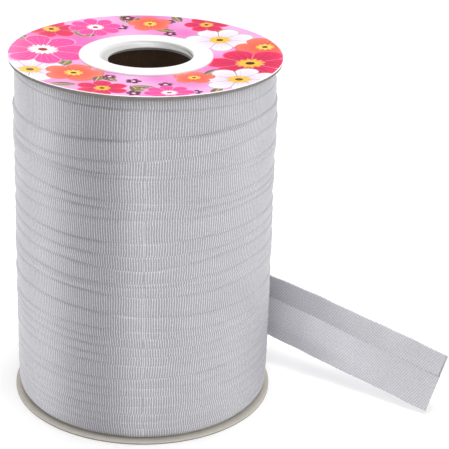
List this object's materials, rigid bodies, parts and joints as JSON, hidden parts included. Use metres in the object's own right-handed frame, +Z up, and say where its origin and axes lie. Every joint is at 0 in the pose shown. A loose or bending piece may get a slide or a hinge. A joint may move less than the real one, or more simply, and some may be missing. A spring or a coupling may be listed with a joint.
{
  "type": "roll of bias tape",
  "caption": "Spool wound with overlapping turns of folded sewing tape, with a floral top label, a white hub collar and a loose end of tape.",
  "frame": {"origin": "On the surface it stands on, under the middle of the whole part's box. The spool's axis is upright at x = -27.5 mm, y = 0.", "axes": "+Z up along the spool's axis, +X to the side where the loose end reaches out, -Y to the front."},
  "size_m": [0.137, 0.082, 0.1105],
  "materials": {
    "foot_card": "uncoated grey-beige paperboard",
    "paperboard": "matt brown paperboard tube",
    "tape_cloth": "silver-grey finely ribbed cloth with a soft sheen",
    "top_card": "grey paperboard",
    "label_paper": "coated paper printed with flowers",
    "collar_plastic": "white moulded plastic"
  },
  "bodies": {
    "root": {"bottom_flange": "foot_card", "core_tube": "paperboard", "wound_tape": "tape_cloth", "top_flange": "top_card", "label_disc": "label_paper", "hub_collar": "collar_plastic", "loose_end": "tape_cloth"}
  },
  "joints": []
}
